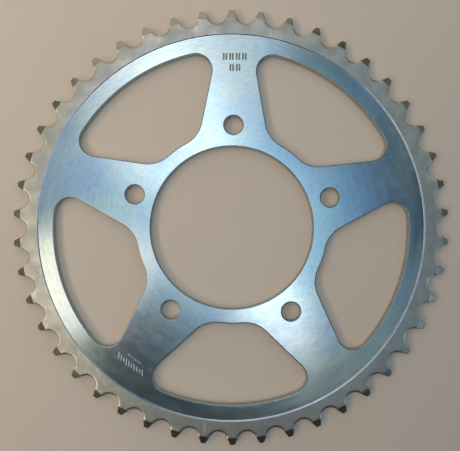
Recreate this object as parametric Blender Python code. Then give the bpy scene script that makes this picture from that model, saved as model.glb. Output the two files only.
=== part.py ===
"""Rear sprocket for a motorcycle roller chain, cut from one flat steel plate.

Metres, +Z up. The sprocket lies flat: +Z is its axis, the origin is on that axis at the back of the
toothed rim, and +Y points at the middle of a tooth. The blank is turned first, then the tooth gaps,
the windows and the bolt holes are cut through it.
"""

import math

import bmesh
import bpy

MM = 0.001

# The chain sets the teeth: 15.875 mm pitch, 10.16 mm rollers, 6.25 mm between the inner plates.
CHAIN_PITCH = 15.875 * MM
ROLLER_DIAMETER = 10.16 * MM
CHAIN_INNER_WIDTH = 6.25 * MM
TOOTH_COUNT = 46

PITCH_RADIUS = CHAIN_PITCH / 2 / math.sin(math.pi / TOOTH_COUNT)
ROOT_RADIUS = PITCH_RADIUS - ROLLER_DIAMETER / 2
# The lowest tip circle that the roller chain standard allows for this many teeth.
TIP_RADIUS = PITCH_RADIUS + (CHAIN_PITCH * (1 - 1.6 / TOOTH_COUNT) - ROLLER_DIAMETER) / 2
SEAT_RADIUS = 0.52 * ROLLER_DIAMETER
SEAT_HALF_ANGLE = math.radians(65)

# The plate: the rim is as wide as a tooth may be, and the web inside it is faced a little thinner.
RIM_THICKNESS = 0.944 * CHAIN_INNER_WIDTH
FACING_DEPTH = 0.4 * MM
STEP_RADIUS = 105.0 * MM
STEP_WIDTH = 0.6 * MM

# The teeth thin towards their tips by a cone turned on each side.
CHAMFER_RADIUS = 114.8 * MM
CHAMFER_DEPTH = 1.5 * MM

# The hub: a spigot bore and five bolt holes, one in the foot of each spoke.
SPOKE_COUNT = 5
BORE_RADIUS = 44.5 * MM
BOLT_CIRCLE_RADIUS = 56.0 * MM
BOLT_HOLE_RADIUS = 5.25 * MM
# The spokes are not lined up with the teeth: the first one stands this far from +Y.
SPOKE_PHASE = math.radians(-1.0)

# The windows: each is bounded by two arcs round the axis and the straight sides of two spokes.
WINDOW_INNER_RADIUS = 52.2 * MM
WINDOW_OUTER_RADIUS = 97.0 * MM
WINDOW_INNER_FILLET = 16.5 * MM
WINDOW_OUTER_FILLET = 8.9 * MM
SPOKE_SIDE_OFFSET = 27.8 * MM
SPOKE_TAPER = math.radians(10.8)

# How far a cutter runs past the metal it cuts.
CUT_MARGIN = 1.0 * MM

# Segments of the turned blank, four to a tooth, and of the smaller arcs.
BLANK_SEGMENTS = 4 * TOOTH_COUNT
SEAT_SEGMENTS = 10
HOLE_SEGMENTS = 32
WINDOW_ARC_SEGMENTS = 16
FILLET_SEGMENTS = 10

SMOOTH_ANGLE = math.radians(30)


def clear_scene():
    for obj in list(bpy.data.objects):
        bpy.data.objects.remove(obj, do_unlink=True)


def arc(centre, radius, start, end, segments):
    """Points along an arc round centre, both ends included."""
    angles = [start + (end - start) * step / segments for step in range(segments + 1)]
    return [
        (centre[0] + radius * math.cos(angle), centre[1] + radius * math.sin(angle))
        for angle in angles
    ]


def turned(point, angle):
    """A point of the plane, turned about the sprocket's axis."""
    cosine, sine = math.cos(angle), math.sin(angle)
    return (point[0] * cosine - point[1] * sine, point[0] * sine + point[1] * cosine)


def tooth_gap_outline():
    """The gap between two teeth, with its middle along +X: a roller seat, and two flanks tangent to it."""
    seat_centre = (ROOT_RADIUS + SEAT_RADIUS, 0)
    seat = arc(
        seat_centre,
        SEAT_RADIUS,
        math.pi - SEAT_HALF_ANGLE,
        math.pi + SEAT_HALF_ANGLE,
        SEAT_SEGMENTS,
    )
    outer_x = TIP_RADIUS + CUT_MARGIN
    upper_x, upper_y = seat[0]
    outer_y = upper_y + (outer_x - upper_x) / math.tan(SEAT_HALF_ANGLE)
    return seat + [(outer_x, -outer_y), (outer_x, outer_y)]


def fillet_centre(fillet_radius, distance, side_angle):
    """The centre of a fillet that lies inside the window, against its upper side and distance from the axis."""
    across = SPOKE_SIDE_OFFSET + fillet_radius
    along = math.sqrt(distance**2 - across**2)
    return (
        across * math.sin(side_angle) + along * math.cos(side_angle),
        along * math.sin(side_angle) - across * math.cos(side_angle),
    )


def window_outline():
    """One window, with its middle along +X: its upper half anticlockwise, then the same half mirrored."""
    side_angle = math.pi / SPOKE_COUNT + SPOKE_TAPER
    side_normal = side_angle + math.pi / 2
    outer = fillet_centre(
        WINDOW_OUTER_FILLET, WINDOW_OUTER_RADIUS - WINDOW_OUTER_FILLET, side_angle
    )
    inner = fillet_centre(
        WINDOW_INNER_FILLET, WINDOW_INNER_RADIUS + WINDOW_INNER_FILLET, side_angle
    )
    outer_angle = math.atan2(outer[1], outer[0])
    inner_angle = math.atan2(inner[1], inner[0])
    upper = (
        arc((0, 0), WINDOW_OUTER_RADIUS, 0, outer_angle, WINDOW_ARC_SEGMENTS // 2)
        + arc(outer, WINDOW_OUTER_FILLET, outer_angle, side_normal, FILLET_SEGMENTS)[1:]
        + arc(
            inner, WINDOW_INNER_FILLET, side_normal, math.pi + inner_angle, FILLET_SEGMENTS
        )
        + arc((0, 0), WINDOW_INNER_RADIUS, inner_angle, 0, FILLET_SEGMENTS // 3)[1:]
    )
    lower = [(x, -y) for x, y in reversed(upper[1:-1])]
    return upper + lower


def bolt_hole_outline():
    """One bolt hole, on the bolt circle along +X."""
    return arc(
        (BOLT_CIRCLE_RADIUS, 0), BOLT_HOLE_RADIUS, 0, 2 * math.pi, HOLE_SEGMENTS
    )[:-1]


def cutter(name, outline, angles):
    """A hidden cutter: the outline stood at each of the angles, as prisms that run past both faces."""
    mesh = bpy.data.meshes.new(name)
    shape = bmesh.new()
    height = RIM_THICKNESS + 2 * CUT_MARGIN
    for angle in angles:
        corners = [
            shape.verts.new((*turned(point, angle), -CUT_MARGIN)) for point in outline
        ]
        base = shape.faces.new(corners)
        raised = bmesh.ops.extrude_face_region(shape, geom=[base])["geom"]
        top = [part for part in raised if isinstance(part, bmesh.types.BMVert)]
        bmesh.ops.translate(shape, verts=top, vec=(0, 0, height))
    bmesh.ops.recalc_face_normals(shape, faces=shape.faces)
    shape.to_mesh(mesh)
    shape.free()
    obj = bpy.data.objects.new(name, mesh)
    bpy.context.scene.collection.objects.link(obj)
    obj.hide_render = True
    obj.display_type = "WIRE"
    return obj


def blank_section():
    """Half of the blank's cross-section, as (radius, height), from the bore up and round to the bore again."""
    back = [
        (BORE_RADIUS, FACING_DEPTH),
        (STEP_RADIUS, FACING_DEPTH),
        (STEP_RADIUS + STEP_WIDTH, 0),
        (CHAMFER_RADIUS, 0),
        (TIP_RADIUS, CHAMFER_DEPTH),
    ]
    front = [(radius, RIM_THICKNESS - height) for radius, height in reversed(back)]
    return back + front


def turned_blank(name):
    """The plate before the teeth are cut: its section spun once round the axis, starting under a tooth."""
    mesh = bpy.data.meshes.new(name)
    shape = bmesh.new()
    points = [shape.verts.new((0, radius, height)) for radius, height in blank_section()]
    edges = [
        shape.edges.new((point, points[index - 1])) for index, point in enumerate(points)
    ]
    bmesh.ops.spin(
        shape,
        geom=points + edges,
        cent=(0, 0, 0),
        axis=(0, 0, 1),
        angle=2 * math.pi,
        steps=BLANK_SEGMENTS,
        use_merge=True,
    )
    bmesh.ops.recalc_face_normals(shape, faces=shape.faces)
    shape.to_mesh(mesh)
    shape.free()
    obj = bpy.data.objects.new(name, mesh)
    bpy.context.scene.collection.objects.link(obj)
    return obj


def zinc_steel():
    """Bright zinc plating over turned steel."""
    material = bpy.data.materials.new("zinc_plated_steel")
    material.use_nodes = True
    surface = material.node_tree.nodes["Principled BSDF"]
    surface.inputs["Base Color"].default_value = (0.60, 0.66, 0.70, 1)
    surface.inputs["Metallic"].default_value = 1.0
    surface.inputs["Roughness"].default_value = 0.32
    return material


def cut(obj, tool):
    """A Boolean that takes the tool's prisms out of the object."""
    modifier = obj.modifiers.new(tool.name, "BOOLEAN")
    modifier.operation = "DIFFERENCE"
    modifier.solver = "EXACT"
    modifier.object = tool


def sprocket_plate():
    first_spoke = math.pi / 2 + SPOKE_PHASE
    spoke_step = 2 * math.pi / SPOKE_COUNT
    tooth_step = 2 * math.pi / TOOTH_COUNT
    spokes = [first_spoke + spoke_step * index for index in range(SPOKE_COUNT)]
    windows = [angle + spoke_step / 2 for angle in spokes]
    gaps = [math.pi / 2 + tooth_step * (index + 0.5) for index in range(TOOTH_COUNT)]

    plate = turned_blank("sprocket_plate")
    plate.data.materials.append(zinc_steel())
    cut(plate, cutter("tooth_gap_cutter", tooth_gap_outline(), gaps))
    cut(plate, cutter("window_cutter", window_outline(), windows))
    cut(plate, cutter("bolt_hole_cutter", bolt_hole_outline(), spokes))
    plate.data.shade_smooth()
    plate.data.set_sharp_from_angle(angle=SMOOTH_ANGLE)
    return plate


clear_scene()
sprocket_plate()
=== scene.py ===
"""The looks of the rear sprocket: a fine mesh of its plate, its zinc plated materials, a soft studio.

Metres, +Z up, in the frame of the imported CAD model. The sprocket lies flat on the floor with +Z as its
axis. The plate is built from outlines: each one is a closed line of edge points, and a ring of vertices
is that line moved some way into the metal. Rings make the walls and the rolled edges, and triangles
between the innermost rings make the two faces.
"""

import math
from collections import namedtuple

import bmesh
import bpy
from mathutils import Matrix, Vector
from mathutils.geometry import delaunay_2d_cdt


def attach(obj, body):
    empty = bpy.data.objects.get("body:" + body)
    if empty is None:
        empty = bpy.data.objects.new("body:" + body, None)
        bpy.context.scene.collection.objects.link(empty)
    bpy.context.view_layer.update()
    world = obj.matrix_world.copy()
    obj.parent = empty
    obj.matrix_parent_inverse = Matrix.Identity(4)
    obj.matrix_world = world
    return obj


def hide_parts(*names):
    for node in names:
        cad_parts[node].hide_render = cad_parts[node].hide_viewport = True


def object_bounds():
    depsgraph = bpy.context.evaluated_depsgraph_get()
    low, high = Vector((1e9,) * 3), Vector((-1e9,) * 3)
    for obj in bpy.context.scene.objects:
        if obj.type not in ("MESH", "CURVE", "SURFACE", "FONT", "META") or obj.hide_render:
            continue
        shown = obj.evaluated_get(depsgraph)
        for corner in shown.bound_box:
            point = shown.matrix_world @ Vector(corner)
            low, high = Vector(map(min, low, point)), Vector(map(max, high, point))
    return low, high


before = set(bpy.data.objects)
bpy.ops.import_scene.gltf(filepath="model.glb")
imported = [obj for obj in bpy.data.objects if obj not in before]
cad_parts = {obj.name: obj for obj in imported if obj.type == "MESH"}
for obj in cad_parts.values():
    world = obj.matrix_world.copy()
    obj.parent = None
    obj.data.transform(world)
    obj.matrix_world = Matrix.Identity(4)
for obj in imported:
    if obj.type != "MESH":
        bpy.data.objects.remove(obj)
cad_low, cad_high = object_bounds()

MM = 0.001

# The chain and the teeth, as in the CAD model.
CHAIN_PITCH = 15.875 * MM
ROLLER_DIAMETER = 10.16 * MM
TOOTH_COUNT = 46
TOOTH_STEP = 2 * math.pi / TOOTH_COUNT
PITCH_RADIUS = CHAIN_PITCH / 2 / math.sin(TOOTH_STEP / 2)
ROOT_RADIUS = PITCH_RADIUS - ROLLER_DIAMETER / 2
# The lowest tip circle that the roller chain standard allows for this many teeth.
TIP_RADIUS = PITCH_RADIUS + (CHAIN_PITCH * (1 - 1.6 / TOOTH_COUNT) - ROLLER_DIAMETER) / 2
SEAT_RADIUS = 0.52 * ROLLER_DIAMETER
SEAT_HALF_ANGLE = math.radians(65)
TIP_CORNER_RADIUS = 0.75 * MM

# The section of the plate: a faced web inside a slightly thicker rim, whose teeth thin to their tips.
RIM_THICKNESS = cad_high.z - cad_low.z
MID_HEIGHT = (cad_high.z + cad_low.z) / 2
FACING_DEPTH = 0.4 * MM
STEP_RADIUS = 105.1 * MM
STEP_WIDTH = 0.45 * MM
STEP_FOOT_BLEND = 0.12 * MM
STEP_TOP_BLEND = 0.08 * MM
CHAMFER_RADIUS = 114.8 * MM
CHAMFER_DEPTH = 1.5 * MM
CHAMFER_SLOPE = CHAMFER_DEPTH / (TIP_RADIUS - CHAMFER_RADIUS)
CHAMFER_BLEND = 0.3 * MM

# The hub, the spokes and the windows between them.
SPOKE_COUNT = 5
SPOKE_STEP = 2 * math.pi / SPOKE_COUNT
FIRST_SPOKE = math.radians(89)
BORE_RADIUS = 44.5 * MM
BOLT_CIRCLE_RADIUS = 56.0 * MM
BOLT_HOLE_RADIUS = 5.25 * MM
WINDOW_INNER_RADIUS = 52.2 * MM
WINDOW_OUTER_RADIUS = 97.0 * MM
WINDOW_INNER_FILLET = 16.5 * MM
WINDOW_OUTER_FILLET = 8.9 * MM
SPOKE_SIDE_OFFSET = 27.8 * MM
SPOKE_TAPER = math.radians(10.8)

# Places of a face's turned circles: eight across the step, three on each tooth where its cone starts.
STEP_CIRCLES = [STEP_RADIUS + share * STEP_FOOT_BLEND for share in (-1, -0.5, 0, 0.5, 1)]
STEP_CIRCLES += [STEP_RADIUS + STEP_WIDTH + share * STEP_TOP_BLEND for share in (-1, 0, 1)]
CHAMFER_CIRCLES = [CHAMFER_RADIUS + offset for offset in (-CHAMFER_BLEND, 0, CHAMFER_BLEND)]

# How the edges roll down into their walls: the roll's width, its depth and its number of bands. The
# teeth's roll shrinks on their flanks, by a share at each chamfer circle, and is small on their tips.
TOOTH_ROLL = (1.3 * MM, 0.26 * MM, 6)
WEB_ROLL = (0.5 * MM, 0.08 * MM, 5)
FLANK_SHARES = (0.8, 0.65, 0.5)
TIP_SHARE = 0.25

# How finely the arcs are divided.
SEAT_SEGMENTS = 9
TIP_CORNER_SEGMENTS = 4
HALF_TIP_SEGMENTS = 2
TOOTH_CIRCLE_SEGMENTS = 4
STEP_CIRCLE_SEGMENTS = 6 * TOOTH_COUNT
BORE_SEGMENTS = 240
BOLT_HOLE_SEGMENTS = 64
HALF_WINDOW_OUTER_SEGMENTS = 16
HALF_WINDOW_INNER_SEGMENTS = 6
WINDOW_FILLET_SEGMENTS = 20
STROKE_END_SEGMENTS = 6

# The middle of every outline that runs round the plate.
AXIS = Vector((0, 0))

# How a face is filled: with triangles over its whole hull, where two places closer than this are one.
WHOLE_HULL = 0
MERGE_DISTANCE = 1e-7
# Edges sharper than this aren't smoothed.
SHARP_ANGLE = math.radians(30)

# The generic marks: two rows of stamped strokes on the top spoke, etched bars on the lower left one.
STAMP_HEIGHT = 3.4 * MM
STAMP_HALF_WIDTH = 0.2 * MM
STAMP_PAIR_GAP = 1.45 * MM
STAMP_PITCH = 3.5 * MM
# A row of stamped strokes: where its first stroke stands, in X and Y, and how many there are.
StampRow = namedtuple("StampRow", "left foot count")
STAMP_ROWS = [
    StampRow(-4.3 * MM, 91.5 * MM, 8),
    StampRow(-0.7 * MM, 85.5 * MM, 4),
]
ETCH_MIDDLE = math.radians(233.2)
ETCH_HALF_WIDTH = 0.28 * MM
ETCH_LENGTHS = (1, 0.8, 0.6)
# A row of etched bars along an arc: its radius, how many there are, half the length of the longest,
# how far they slant from the radius, and their spacing.
EtchRow = namedtuple("EtchRow", "radius count half_length slant step")
ETCH_ROWS = [
    EtchRow(92.8 * MM, 10, 1.6 * MM, math.radians(35), 1.75 * MM),
    EtchRow(88.9 * MM, 6, 0.25 * MM, 0.0, 1.5 * MM),
]

# The floor lies a hair below the plate, so that their surfaces don't coincide.
FLOOR_HALF = 2.0
FLOOR_GAP = 0.05 * MM

# The camera, less than a degree off straight down: where it is and what it looks at, measured from
# the middle of the plate's top, and how far it is rolled clockwise. The lens is in millimetres.
CAMERA_EYE = Vector((-5.8, 2.4, 341)) * MM
CAMERA_AIM = Vector((-1.1, 1.2, 0)) * MM
CAMERA_ROLL = math.radians(0.14)
CAMERA_LENS = 49.07
CAMERA_NEAREST = 10 * MM

# Soft lights: the side each stands on, in degrees clockwise from the top of the picture, how many
# degrees it leans from straight overhead, its distance, width and length in metres, its colour, and
# its power in watts.
Softbox = namedtuple("Softbox", "name azimuth lean distance width length colour power")
SOFTBOXES = [
    Softbox("key_back", 345, 48, 0.9, 1.00, 1.00, (1.00, 0.85, 0.70), 1.35),
    Softbox("warm_left", 280, 40, 1.2, 0.80, 0.30, (1.00, 0.80, 0.55), 1.60),
    Softbox("warm_front_left", 235, 40, 1.2, 0.45, 0.30, (1.00, 0.90, 0.70), 1.15),
    Softbox("window_front_left", 250, 23, 1.2, 0.27, 0.54, (1.00, 0.80, 0.60), 0.90),
    Softbox("neutral_right", 60, 40, 1.2, 0.60, 0.60, (0.90, 1.00, 0.90), 0.60),
    Softbox("sky_right", 112, 50, 1.2, 0.70, 0.60, (0.45, 0.75, 1.00), 0.90),
    Softbox("sky_low_right", 120, 24, 1.2, 0.36, 0.36, (0.80, 1.00, 1.00), 0.07),
    Softbox("sky_back_right", 32, 25, 1.2, 0.40, 0.40, (0.35, 0.70, 1.00), 0.10),
    Softbox("window_back", 355, 17, 1.2, 0.36, 0.34, (0.90, 0.95, 1.00), 0.30),
    Softbox("window_back_left", 330, 15, 1.2, 0.32, 0.42, (1.00, 0.95, 0.90), 0.45),
    Softbox("sky_overhead", 0, 0, 1.2, 0.45, 0.45, (0.80, 0.95, 1.00), 0.55),
    Softbox("sky_over_right", 90, 7, 1.2, 0.45, 0.45, (0.25, 0.60, 1.00), 0.30),
    Softbox("sky_left", 290, 16, 1.2, 0.27, 0.30, (0.60, 0.80, 1.00), 0.15),
    Softbox("gleam_front", 150, 11, 1.2, 0.15, 0.26, (1.00, 0.95, 0.90), 0.25),
]

# The room's own light, by the direction it comes from. It grows from the front to the other walls as
# the direction's Y rises through one span, and falls from the walls to overhead as its Z does.
ROOM_COLOUR = (0.92, 0.96, 1.0, 1)
ROOM_WALLS = 0.5
ROOM_FRONT = 0.12
ROOM_OVERHEAD = 0.02
ROOM_Y_SPAN = (-0.7, 0.1)
ROOM_Z_SPAN = (0.05, 0.5)

# The plate's material slots, in the order of MATERIALS, and the two sides of the plate.
WEB, RIM, STEP, CONE, WALL, DENT, ETCH = range(7)
FRONT, BACK = 1, -1

# One point of an outline: its place, the way into the metal, how much of the edge's roll it takes, and
# which of the chamfer circles starts or ends there.
EdgePoint = namedtuple("EdgePoint", "place inward share circle", defaults=(1.0, None))
# One ring of an edge: how far it lies into the metal, and how far under the face.
Roll = namedtuple("Roll", "grow drop")

# A stamped mark has a slight raised lip inside two flat rings, an etched one only a shallow floor.
STAMP_ROLLS = [
    Roll(0.32 * MM, 0),
    Roll(0.25 * MM, 0),
    Roll(0.1 * MM, -0.03 * MM),
    Roll(0, 0.02 * MM),
    Roll(-0.08 * MM, 0.12 * MM),
    Roll(-0.15 * MM, 0.15 * MM),
]
ETCH_ROLLS = [Roll(0, 0), Roll(-0.05 * MM, 0.03 * MM)]


def direction(angle):
    return Vector((math.cos(angle), math.sin(angle)))


def edge_arc(centre, radius, start, end, segments, metal_inside=False, share=1.0):
    """Edge points along an arc. The metal is inside it on a boss, and outside it on a hole."""
    points = []
    for step in range(segments + 1):
        outward = direction(start + (end - start) * step / segments)
        inward = -outward if metal_inside else outward
        points.append(EdgePoint(centre + radius * outward, inward, share))
    return points


def mirrored(points):
    """The same edge on the other side of the X axis, in the order that continues it."""
    flip = Matrix.Scale(-1, 2, Vector((0, 1)))
    return [
        p._replace(place=flip @ p.place, inward=flip @ p.inward) for p in reversed(points)
    ]


def placed(points, angle):
    """The same edge, turned round the axis."""
    turn = Matrix.Rotation(angle, 2)
    return [p._replace(place=turn @ p.place, inward=turn @ p.inward) for p in points]


def reach_to_circle(start, along, radius):
    """How far along a line from start it leaves the circle of that radius round the axis."""
    half = start.dot(along)
    return -half + math.sqrt(half * half - start.length_squared + radius * radius)


def half_tooth():
    """The toothed edge from the middle of a gap, on the X axis, to the middle of the next tooth."""
    seat_centre = Vector((ROOT_RADIUS + SEAT_RADIUS, 0))
    into_flank = direction(math.pi - SEAT_HALF_ANGLE)
    along = direction(math.pi / 2 - SEAT_HALF_ANGLE)
    seat_end = math.pi - SEAT_HALF_ANGLE
    seat = edge_arc(seat_centre, SEAT_RADIUS, math.pi, seat_end, SEAT_SEGMENTS)

    # Where the flank crosses a chamfer circle, its rings slide along that circle.
    foot = seat_centre + SEAT_RADIUS * into_flank
    flank = []
    for circle, (radius, share) in enumerate(zip(CHAMFER_CIRCLES, FLANK_SHARES)):
        place = foot + reach_to_circle(foot, along, radius) * along
        outward = place.normalized()
        slide = into_flank - along * (into_flank.dot(outward) / along.dot(outward))
        flank.append(EdgePoint(place, slide, share, circle))

    corner_foot = foot + TIP_CORNER_RADIUS * into_flank
    reach = reach_to_circle(corner_foot, along, TIP_RADIUS - TIP_CORNER_RADIUS)
    corner_centre = corner_foot + reach * along
    corner_angle = math.atan2(corner_centre.y, corner_centre.x)
    corner = edge_arc(
        corner_centre,
        TIP_CORNER_RADIUS,
        -SEAT_HALF_ANGLE,
        corner_angle,
        TIP_CORNER_SEGMENTS,
        metal_inside=True,
        share=TIP_SHARE,
    )
    tip = edge_arc(
        AXIS,
        TIP_RADIUS,
        corner_angle,
        TOOTH_STEP / 2,
        HALF_TIP_SEGMENTS,
        metal_inside=True,
        share=TIP_SHARE,
    )
    return seat + flank + corner + tip[1:]


def toothed_outline():
    """The whole toothed edge, anticlockwise, with a tooth's middle on +Y."""
    half = half_tooth()
    pitch = mirrored(half)[1:-1] + half
    points = []
    for index in range(TOOTH_COUNT):
        points += placed(pitch, math.pi / 2 + TOOTH_STEP * (index + 0.5))
    return points


def fillet_centre(fillet_radius, distance, side_angle):
    """The centre of a fillet inside the window, against its upper side and distance from the axis."""
    across = SPOKE_SIDE_OFFSET + fillet_radius
    along = math.sqrt(distance**2 - across**2)
    return across * direction(side_angle - math.pi / 2) + along * direction(side_angle)


def window_outline():
    """One window, with its middle along +X: its upper half anticlockwise, then that half mirrored."""
    side_angle = math.pi / SPOKE_COUNT + SPOKE_TAPER
    side_normal = side_angle + math.pi / 2
    outer = fillet_centre(
        WINDOW_OUTER_FILLET, WINDOW_OUTER_RADIUS - WINDOW_OUTER_FILLET, side_angle
    )
    inner = fillet_centre(
        WINDOW_INNER_FILLET, WINDOW_INNER_RADIUS + WINDOW_INNER_FILLET, side_angle
    )
    outer_angle = math.atan2(outer.y, outer.x)
    inner_angle = math.atan2(inner.y, inner.x)
    inner_end = math.pi + inner_angle
    fillet = WINDOW_FILLET_SEGMENTS
    upper = edge_arc(AXIS, WINDOW_OUTER_RADIUS, 0, outer_angle, HALF_WINDOW_OUTER_SEGMENTS)
    upper += edge_arc(outer, WINDOW_OUTER_FILLET, outer_angle, side_normal, fillet)[1:]
    upper += edge_arc(inner, WINDOW_INNER_FILLET, side_normal, inner_end, fillet)
    hub = edge_arc(
        AXIS, WINDOW_INNER_RADIUS, inner_angle, 0, HALF_WINDOW_INNER_SEGMENTS, metal_inside=True
    )
    upper += hub[1:]
    return upper + mirrored(upper[1:-1])


def round_outline(centre, radius, segments):
    return edge_arc(centre, radius, 0, 2 * math.pi, segments)[:-1]


def stroke_outline(centre, half_length, half_width, angle):
    """A short straight stroke with round ends, and the metal outside it."""
    along = half_length * direction(angle)
    quarter = math.pi / 2
    ends = []
    for middle, start in ((centre + along, angle - quarter), (centre - along, angle + quarter)):
        ends += edge_arc(middle, half_width, start, start + math.pi, STROKE_END_SEGMENTS)
    return ends


def rolled_edge(width, depth, steps):
    """The rings of an edge that rolls down to its wall, from the wall to the face."""
    rings = []
    for step in range(steps + 1):
        share = step / steps
        rings.append(Roll(width * share, depth * (1 - share) ** 2))
    return rings


def blended(distance, blend):
    """0 before a corner and distance after it, with a parabola for blend either side."""
    if distance <= -blend:
        return 0
    if distance >= blend:
        return distance
    return (distance + blend) ** 2 / (4 * blend)


def face_height(radius):
    """How far a face stands off the middle of the plate, at that radius."""
    foot = blended(radius - STEP_RADIUS, STEP_FOOT_BLEND)
    top = blended(radius - STEP_RADIUS - STEP_WIDTH, STEP_TOP_BLEND)
    step = (FACING_DEPTH / STEP_WIDTH) * (foot - top)
    fall = CHAMFER_SLOPE * blended(radius - CHAMFER_RADIUS, CHAMFER_BLEND)
    return RIM_THICKNESS / 2 - FACING_DEPTH + step - fall


def zone(radius):
    """The material slot of a face at that radius."""
    if radius < STEP_CIRCLES[0]:
        return WEB
    if radius < STEP_CIRCLES[-1]:
        return STEP
    return RIM if radius < CHAMFER_RADIUS else CONE


class PlateMesh:
    """The plate's mesh as it grows, with the loops that bound each of its two faces."""

    def __init__(self):
        self.mesh = bmesh.new()
        self.edge = self.mesh.verts.layers.float.new("edge")
        self.loops = {FRONT: [], BACK: []}
        self.lines = {FRONT: [], BACK: []}

    def vertex(self, place, side, drop=0.0, edge=0.0):
        height = side * (face_height(place.length) - drop)
        vertex = self.mesh.verts.new((place.x, place.y, MID_HEIGHT + height))
        vertex[self.edge] = edge
        return vertex

    def ring(self, outline, roll, side, edge=0.0):
        return [
            self.vertex(
                p.place + roll.grow * p.share * p.inward, side, roll.drop * p.share, edge
            )
            for p in outline
        ]

    def band(self, below, above, hole, material=None):
        """Quads between two rings, which face into a hole or away from a boss."""
        for index in range(len(below)):
            corners = [below[index - 1], below[index], above[index], above[index - 1]]
            face = self.mesh.faces.new(reversed(corners) if hole else corners)
            if material is None:
                face.material_index = zone(face.calc_center_median().xy.length)
            else:
                face.material_index = material

    def wall(self, outline, rolls, hole=True):
        """The wall along an outline and its rolled edges, from the back face to the front one."""
        edges = [1 - index / (len(rolls) - 1) for index in range(len(rolls))]
        stacks = {}
        for side in (BACK, FRONT):
            stacks[side] = [
                self.ring(outline, roll, side, edge) for roll, edge in zip(rolls, edges)
            ]
            self.loops[side].append(stacks[side][-1])
        middle = [self.mesh.verts.new((*p.place, MID_HEIGHT)) for p in outline]
        for below, above in zip(stacks[BACK][1:], stacks[BACK]):
            self.band(below, above, hole)
        self.band(stacks[BACK][0], middle, hole, WALL)
        self.band(middle, stacks[FRONT][0], hole, WALL)
        for below, above in zip(stacks[FRONT], stacks[FRONT][1:]):
            self.band(below, above, hole)

    def dent(self, outline, rolls, material):
        """A mark sunk in the front face, down to a flat floor."""
        stack = [self.ring(outline, roll, FRONT) for roll in rolls]
        self.loops[FRONT].append(stack[0])
        for above, below in zip(stack, stack[1:]):
            self.band(below, above, True, material)
        self.mesh.faces.new(stack[-1]).material_index = material

    def step_circles(self, side, segments):
        for radius in STEP_CIRCLES:
            circle = [
                self.vertex(radius * direction(2 * math.pi * step / segments), side)
                for step in range(segments)
            ]
            self.lines[side].append(circle + circle[:1])

    def chamfer_circles(self, outline, side, segments):
        """The chamfer circles across each tooth, between the vertices where its flanks cross them."""
        edge = self.loops[side][0]
        for circle in range(len(CHAMFER_CIRCLES)):
            crossings = [v for p, v in zip(outline, edge) if p.circle == circle]
            starts = crossings[1::2]
            ends = crossings[2::2] + crossings[:1]
            for start, end in zip(starts, ends):
                first, last = start.co.xy, end.co.xy
                line = [start]
                for step in range(1, segments):
                    chord = first.lerp(last, step / segments)
                    line.append(self.vertex(chord.normalized() * first.length, side))
                self.lines[side].append(line + [end])

    def face(self, side):
        """Triangles between the loops of one face. Its first loop is the toothed edge."""
        vertices, loops, edges = [], [], []
        index_of = {}
        for line in self.loops[side] + self.lines[side]:
            for vertex in line:
                if vertex not in index_of:
                    index_of[vertex] = len(vertices)
                    vertices.append(vertex)
        for loop in self.loops[side]:
            loops.append([index_of[vertex] for vertex in loop])
        for line in self.lines[side]:
            edges += [(index_of[a], index_of[b]) for a, b in zip(line, line[1:])]
        places = [vertex.co.xy for vertex in vertices]
        result = delaunay_2d_cdt(places, edges, loops, WHOLE_HULL, MERGE_DISTANCE)
        _, _, triangles, origins, _, holders = result
        for triangle, held_by in zip(triangles, holders):
            # Metal lies within the toothed edge alone; a hole's triangles lie within its loop too.
            if list(held_by) != [0]:
                continue
            corners = [vertices[origins[index][0]] for index in triangle]
            face = self.mesh.faces.new(corners if side == FRONT else reversed(corners))
            face.material_index = zone(face.calc_center_median().xy.length)

    def piece(self, name, materials):
        """The finished object, smooth but for its sharp edges."""
        data = bpy.data.meshes.new(name)
        self.mesh.to_mesh(data)
        self.mesh.free()
        for material in materials:
            data.materials.append(material)
        data.shade_smooth()
        data.set_sharp_from_angle(angle=SHARP_ANGLE)
        piece = bpy.data.objects.new(name, data)
        bpy.context.scene.collection.objects.link(piece)
        weighted = piece.modifiers.new("flat faces stay flat", "WEIGHTED_NORMAL")
        weighted.keep_sharp = True
        return piece


def stamp_strokes(plate, row):
    """A row of upright strokes in pairs, stamped into the top spoke: a generic mark, not lettering."""
    for index in range(row.count):
        across = row.left + (index // 2) * STAMP_PITCH + (index % 2) * STAMP_PAIR_GAP
        centre = Vector((across, row.foot + STAMP_HEIGHT / 2))
        half_length = STAMP_HEIGHT / 2 - STAMP_HALF_WIDTH
        outline = stroke_outline(centre, half_length, STAMP_HALF_WIDTH, math.pi / 2)
        plate.dent(outline, STAMP_ROLLS, DENT)


def etch_bars(plate, row):
    """A row of bars of three lengths, etched across the lower left spoke: a generic mark."""
    for index in range(row.count):
        angle = ETCH_MIDDLE + (index - (row.count - 1) / 2) * row.step / row.radius
        centre = row.radius * direction(angle)
        reach = row.half_length * ETCH_LENGTHS[index % len(ETCH_LENGTHS)]
        outline = stroke_outline(centre, reach, ETCH_HALF_WIDTH, angle + row.slant)
        plate.dent(outline, ETCH_ROLLS, ETCH)


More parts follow.
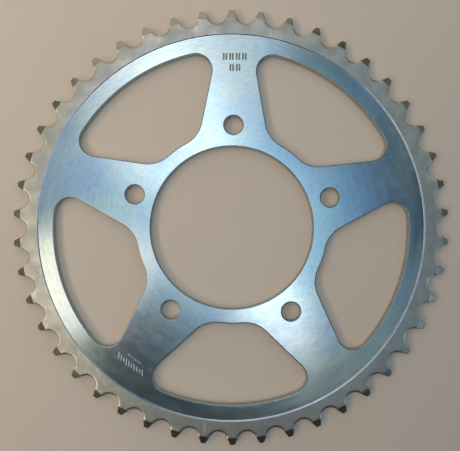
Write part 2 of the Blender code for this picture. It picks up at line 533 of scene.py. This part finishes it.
def sprocket_plate(materials):
    """The whole sprocket as one mesh: its cut edges first, then its marks, then its two faces."""
    plate = PlateMesh()
    teeth = toothed_outline()
    plate.wall(teeth, rolled_edge(*TOOTH_ROLL), hole=False)
    web_edge = rolled_edge(*WEB_ROLL)
    plate.wall(round_outline(AXIS, BORE_RADIUS, BORE_SEGMENTS), web_edge)
    for index in range(SPOKE_COUNT):
        spoke = FIRST_SPOKE + SPOKE_STEP * index
        plate.wall(placed(window_outline(), spoke + SPOKE_STEP / 2), web_edge)
        centre = BOLT_CIRCLE_RADIUS * direction(spoke)
        plate.wall(round_outline(centre, BOLT_HOLE_RADIUS, BOLT_HOLE_SEGMENTS), web_edge)
    for row in STAMP_ROWS:
        stamp_strokes(plate, row)
    for row in ETCH_ROWS:
        etch_bars(plate, row)
    for side in (FRONT, BACK):
        plate.step_circles(side, STEP_CIRCLE_SEGMENTS)
        plate.chamfer_circles(teeth, side, TOOTH_CIRCLE_SEGMENTS)
        plate.face(side)
    return plate.piece("rear_sprocket_plate", materials)


class Surface:
    """A material in the making: its Principled BSDF, and short ways to make the nodes that feed it."""

    def __init__(self, name, metallic=1.0, turned=0.0):
        self.material = bpy.data.materials.new(name)
        self.material.use_nodes = True
        self.tree = self.material.node_tree
        self.surface = self.tree.nodes["Principled BSDF"]
        self.surface.inputs["Metallic"].default_value = metallic
        self.place = self.node("ShaderNodeTexCoord").outputs["Object"]
        if turned:
            # The tool's rings run round the axis, so the gloss spreads outwards, across them.
            tangent = self.node("ShaderNodeTangent", direction_type="RADIAL", axis="Z")
            self.tree.links.new(tangent.outputs["Tangent"], self.surface.inputs["Tangent"])
            self.surface.inputs["Anisotropic"].default_value = turned
            self.surface.inputs["Anisotropic Rotation"].default_value = 0.25

    def node(self, kind, inputs=None, **settings):
        """A new node. Each of its inputs is fed by a socket, or holds a value."""
        node = self.tree.nodes.new(kind)
        for name, value in settings.items():
            setattr(node, name, value)
        for name, value in (inputs or {}).items():
            if isinstance(value, bpy.types.NodeSocket):
                self.tree.links.new(value, node.inputs[name])
            else:
                node.inputs[name].default_value = value
        return node

    def math(self, operation, first, second):
        return self.node("ShaderNodeMath", {0: first, 1: second}, operation=operation).outputs[0]

    def vector(self, operation, first, second=(0, 0, 0)):
        inputs = {0: first, 1: second}
        return self.node("ShaderNodeVectorMath", inputs, operation=operation).outputs["Vector"]

    def noise(self, place, scale=1.0, detail=2.0):
        inputs = {"Vector": place, "Scale": scale, "Detail": detail}
        return self.node("ShaderNodeTexNoise", inputs).outputs["Fac"]

    def stretched(self, x, y, z):
        """The place with each axis stretched on its own, in cells to a metre."""
        return self.vector("MULTIPLY", self.place, (x, y, z))

    def lathe(self, around, across):
        """The place as the lathe sees it, without a seam, in cells to a radian and to a metre."""
        flat = self.stretched(1, 1, 0)
        radius = self.node("ShaderNodeVectorMath", {0: flat}, operation="LENGTH").outputs["Value"]
        out = self.node("ShaderNodeCombineXYZ", {"Z": self.math("MULTIPLY", radius, across)})
        turn = self.vector("MULTIPLY", self.vector("NORMALIZE", flat), (around, around, 0))
        return self.vector("ADD", turn, out.outputs["Vector"])

    def edge(self):
        """1 where the metal meets a wall, down to 0 where the flat of the face starts."""
        return self.node("ShaderNodeAttribute", attribute_name="edge").outputs["Fac"]

    def span(self, value, low, high, to_low=0.0, to_high=1.0):
        """The value from between low and high, moved to between to_low and to_high and held there."""
        inputs = {0: value, 1: low, 2: high, 3: to_low, 4: to_high}
        return self.node("ShaderNodeMapRange", inputs).outputs["Result"]

    def blend(self, share, first, second):
        """The first colour, with a share of the second."""
        colours = [(*c, 1) if isinstance(c, tuple) else c for c in (first, second)]
        inputs = {0: share, 6: colours[0], 7: colours[1]}
        return self.node("ShaderNodeMix", inputs, data_type="RGBA").outputs[2]

    def bump(self, height, distance, below=None):
        """A relief that is distance high, on top of the relief below it."""
        inputs = {"Height": height, "Distance": distance, "Strength": 1.0}
        if below:
            inputs["Normal"] = below
        return self.node("ShaderNodeBump", inputs).outputs["Normal"]

    def finish(self, colour, roughness, normal):
        """The material, with its colour, roughness and relief in place."""
        for name, value in (("Base Color", colour), ("Roughness", roughness), ("Normal", normal)):
            self.tree.links.new(value, self.surface.inputs[name])
        return self.material


def web_metal():
    """The faced web: bright zinc over the rings of the lathe, with a faint drift of tint."""
    metal = Surface("zinc_turned_web", turned=0.6)
    rings = metal.noise(metal.lathe(24, 1100), detail=1)
    bands = metal.noise(metal.lathe(3, 260), detail=2)
    grain = metal.noise(metal.place, 2400, detail=2)
    clouds = metal.noise(metal.place, 44, detail=3)
    tint = metal.noise(metal.place, 33, detail=2)
    film = metal.noise(metal.lathe(5, 90), detail=3)
    stains = metal.span(metal.noise(metal.place, 190, detail=5), 0.50, 0.72)

    blue, teal = (0.385, 0.53, 0.64), (0.45, 0.59, 0.60)
    deep_blue = (0.40, 0.485, 0.615)
    straw = (0.54, 0.58, 0.55)
    ring_shade = (0.30, 0.36, 0.42)
    grain_glint = (0.66, 0.69, 0.71)
    stain_grey = (0.40, 0.44, 0.47)
    painted_edge_reflection = (0.08, 0.12, 0.13)
    zinc = metal.blend(metal.span(tint, 0.40, 0.60), blue, teal)
    zinc = metal.blend(metal.span(clouds, 0.45, 0.7, 0, 0.45), zinc, deep_blue)
    zinc = metal.blend(metal.span(film, 0.48, 0.7, 0, 0.4), zinc, straw)
    zinc = metal.blend(metal.span(rings, 0.35, 0.65, 0.3, 0), zinc, ring_shade)
    zinc = metal.blend(metal.span(grain, 0.45, 0.75, 0, 0.2), zinc, grain_glint)
    zinc = metal.blend(metal.math("MULTIPLY", stains, 0.10), zinc, stain_grey)
    # Painted reflection: the rolled edges of the web's holes are painted nearly black, in place of the
    # dark room that they reflect.
    zinc = metal.blend(metal.span(metal.edge(), 0.1, 0.45, 0, 0.9), zinc, painted_edge_reflection)

    roughness = metal.span(bands, 0.3, 0.7, 0.165, 0.195)
    roughness = metal.math("ADD", roughness, metal.math("MULTIPLY", stains, 0.025))
    roughness = metal.math("ADD", roughness, metal.math("MULTIPLY", metal.edge(), 0.12))

    relief = metal.bump(bands, 2e-6)
    relief = metal.bump(rings, 6e-7, relief)
    return metal.finish(zinc, roughness, relief)


def rim_metal():
    """The rim, as rolled: duller, warmer, blotched, a few pale rubs, worn edges with a painted
    highlight.
    """
    metal = Surface("zinc_matte_rim")
    blotches = metal.noise(metal.place, 130, detail=4)
    grain = metal.noise(metal.place, 1500, detail=3)
    rubs = metal.span(metal.noise(metal.stretched(230, 75, 75), detail=3), 0.62, 0.74)
    wear_and_highlight = metal.math("MULTIPLY", metal.edge(), metal.span(blotches, 0.35, 0.6, 0.3, 1))

    dull, pale = (0.36, 0.385, 0.37), (0.495, 0.515, 0.48)
    grain_shade = (0.34, 0.36, 0.36)
    rubbed = (0.72, 0.72, 0.68)
    worn_and_highlight = (0.74, 0.73, 0.67)
    zinc = metal.blend(metal.span(blotches, 0.38, 0.64), dull, pale)
    zinc = metal.blend(metal.span(grain, 0.4, 0.7, 0.0, 0.5), zinc, grain_shade)
    zinc = metal.blend(metal.math("MULTIPLY", rubs, 0.5), zinc, rubbed)
    # Wear and painted highlight: the rolled edges of the teeth are painted pale, partly as wear and
    # partly as the light that they catch.
    zinc = metal.blend(metal.math("MULTIPLY", wear_and_highlight, 0.7), zinc, worn_and_highlight)

    roughness = metal.span(blotches, 0.35, 0.65, 0.40, 0.34)
    roughness = metal.math("SUBTRACT", roughness, metal.math("MULTIPLY", wear_and_highlight, 0.08))
    relief = metal.bump(blotches, 8e-5)
    relief = metal.bump(grain, 1.2e-5, relief)
    return metal.finish(zinc, roughness, relief)


def turned_metal(name, zinc_dark, zinc_light, roughness, turned):
    """A narrow cut of the lathe: rings that run round it, dark and light arcs, and a worn edge with a
    painted highlight.
    """
    worn_and_highlight = (0.70, 0.68, 0.64)
    metal = Surface(name, turned=turned)
    rings = metal.noise(metal.lathe(12, 2600), detail=2)
    arcs = metal.noise(metal.lathe(6, 300), detail=3)
    zinc = metal.blend(metal.span(arcs, 0.35, 0.65), zinc_dark, zinc_light)
    # Wear and painted highlight: the edges are painted pale, partly as wear and partly as the light that
    # they catch.
    zinc = metal.blend(metal.math("MULTIPLY", metal.edge(), 0.4), zinc, worn_and_highlight)
    gloss = metal.span(rings, 0.3, 0.7, roughness - 0.04, roughness + 0.04)
    return metal.finish(zinc, gloss, metal.bump(rings, 4e-6))


def wall_metal():
    """The walls of the cuts: darker zinc, scored through the plate by the cutter."""
    metal = Surface("zinc_cut_wall")
    score = metal.noise(metal.stretched(1100, 1100, 70), detail=3)
    clouds = metal.noise(metal.place, 160, detail=3)
    groove, ridge = (0.36, 0.43, 0.43), (0.54, 0.60, 0.58)
    warm_haze = (0.54, 0.45, 0.41)
    zinc = metal.blend(metal.span(score, 0.3, 0.7), groove, ridge)
    zinc = metal.blend(metal.span(clouds, 0.4, 0.65, 0, 0.3), zinc, warm_haze)
    roughness = metal.span(score, 0.3, 0.7, 0.42, 0.32)
    return metal.finish(zinc, roughness, metal.bump(score, 2.5e-5))


def sunk_metal(name, zinc_dark, zinc_light, roughness, relief):
    """The floor of a mark: frosted, with a coarse grain of its own."""
    metal = Surface(name)
    grain = metal.noise(metal.place, 3200, detail=3)
    zinc = metal.blend(metal.span(grain, 0.35, 0.65), zinc_dark, zinc_light)
    frost = metal.span(grain, 0.3, 0.7, roughness + 0.06, roughness - 0.06)
    return metal.finish(zinc, frost, metal.bump(grain, relief))


def floor_paint():
    """The floor: a pale warm board, paler at the back left with painted shade at the front right, soft
    mottling, a fine tooth.
    """
    floor = Surface("floor_pale", metallic=0.0)
    mottle = floor.noise(floor.place, 14, detail=3)
    tooth = floor.noise(floor.place, 900, detail=2)
    along = floor.node("ShaderNodeSeparateXYZ", {0: floor.stretched(1, -0.7, 0)}).outputs
    # Painted shade: the floor darkens towards the front right, as if the light fell from the back left.
    painted_shade_front_right = floor.span(floor.math("ADD", along["X"], along["Y"]), -0.2, 0.2)
    sand, cream = (0.95, 0.83, 0.73), (0.98, 0.87, 0.77)
    painted_shade_sand = (0.67, 0.60, 0.54)
    colour = floor.blend(floor.span(mottle, 0.3, 0.7), sand, cream)
    colour = floor.blend(painted_shade_front_right, colour, painted_shade_sand)
    roughness = floor.span(tooth, 0.3, 0.7, 0.75, 0.65)
    return floor.finish(colour, roughness, floor.bump(tooth, 3e-5))


def pale_floor():
    data = bpy.data.meshes.new("floor")
    height = cad_low.z - FLOOR_GAP
    corners = [(-1, -1), (1, -1), (1, 1), (-1, 1)]
    places = [(FLOOR_HALF * x, FLOOR_HALF * y, height) for x, y in corners]
    data.from_pydata(places, [], [(0, 1, 2, 3)])
    data.materials.append(floor_paint())
    floor = bpy.data.objects.new("floor", data)
    bpy.context.scene.collection.objects.link(floor)
    return floor


def overhead_camera():
    """The camera, with +Y up in its picture but for its small roll."""
    camera = bpy.data.objects.new("camera", bpy.data.cameras.new("camera"))
    camera.data.lens = CAMERA_LENS
    camera.data.clip_start = CAMERA_NEAREST
    top = Vector((0, 0, cad_high.z))
    camera.location = top + CAMERA_EYE
    sight = (CAMERA_AIM - CAMERA_EYE).normalized()
    right = sight.cross(Vector((0, 1, 0))).normalized()
    upright = Matrix((right, right.cross(sight), -sight)).transposed()
    camera.rotation_euler = (upright @ Matrix.Rotation(-CAMERA_ROLL, 3, "Z")).to_euler()
    bpy.context.scene.collection.objects.link(camera)
    return camera


def soft_light(box):
    """An oval area light that faces the plate's middle. Its width is level, and its length leans."""
    light = bpy.data.lights.new(box.name, "AREA")
    light.shape = "ELLIPSE"
    light.size, light.size_y = box.width, box.length
    light.color = box.colour
    light.energy = box.power
    lamp = bpy.data.objects.new(box.name, light)
    side, lean = math.radians(90 - box.azimuth), math.radians(box.lean)
    lamp.location = box.distance * Vector((*(math.sin(lean) * direction(side)), math.cos(lean)))
    lamp.rotation_euler = (lean, 0, side + math.pi / 2)
    bpy.context.scene.collection.objects.link(lamp)


def studio_world():
    """The room: pale walls, dimmer at the front, where the photographer stands, and dark overhead."""
    world = bpy.data.worlds.new("studio")
    world.use_nodes = True
    nodes, links = world.node_tree.nodes, world.node_tree.links
    outlook = nodes.new("ShaderNodeTexCoord").outputs["Generated"]
    heading = nodes.new("ShaderNodeSeparateXYZ")
    links.new(outlook, heading.inputs[0])

    def fade(value, span, to_low, to_high):
        """From one strength to another, eased, as the value goes through the span."""
        ramp = nodes.new("ShaderNodeMapRange")
        ramp.interpolation_type = "SMOOTHSTEP"
        for index, given in enumerate((value, *span, to_low, to_high)):
            if isinstance(given, bpy.types.NodeSocket):
                links.new(given, ramp.inputs[index])
            else:
                ramp.inputs[index].default_value = given
        return ramp.outputs["Result"]

    walls = fade(heading.outputs["Y"], ROOM_Y_SPAN, ROOM_FRONT, ROOM_WALLS)
    room = fade(heading.outputs["Z"], ROOM_Z_SPAN, walls, ROOM_OVERHEAD)
    background = nodes["Background"]
    background.inputs["Color"].default_value = ROOM_COLOUR
    links.new(room, background.inputs["Strength"])
    return world


MATERIALS = [
    web_metal(),
    rim_metal(),
    turned_metal("zinc_step", (0.46, 0.57, 0.75), (0.58, 0.68, 0.84), 0.22, 0.5),
    turned_metal("zinc_tooth_cone", (0.46, 0.45, 0.38), (0.60, 0.57, 0.49), 0.28, 0.3),
    wall_metal(),
    sunk_metal("zinc_stamped_mark", (0.28, 0.31, 0.33), (0.42, 0.45, 0.47), 0.46, 1e-5),
    sunk_metal("zinc_etched_mark", (0.50, 0.55, 0.57), (0.68, 0.71, 0.72), 0.42, 6e-6),
]
plate = sprocket_plate(MATERIALS)
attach(plate, "root")
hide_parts("sprocket_plate")

floor = pale_floor()
for box in SOFTBOXES:
    soft_light(box)
bpy.context.scene.world = studio_world()
bpy.context.scene.view_settings.view_transform = "Standard"
bpy.context.scene.camera = overhead_camera()
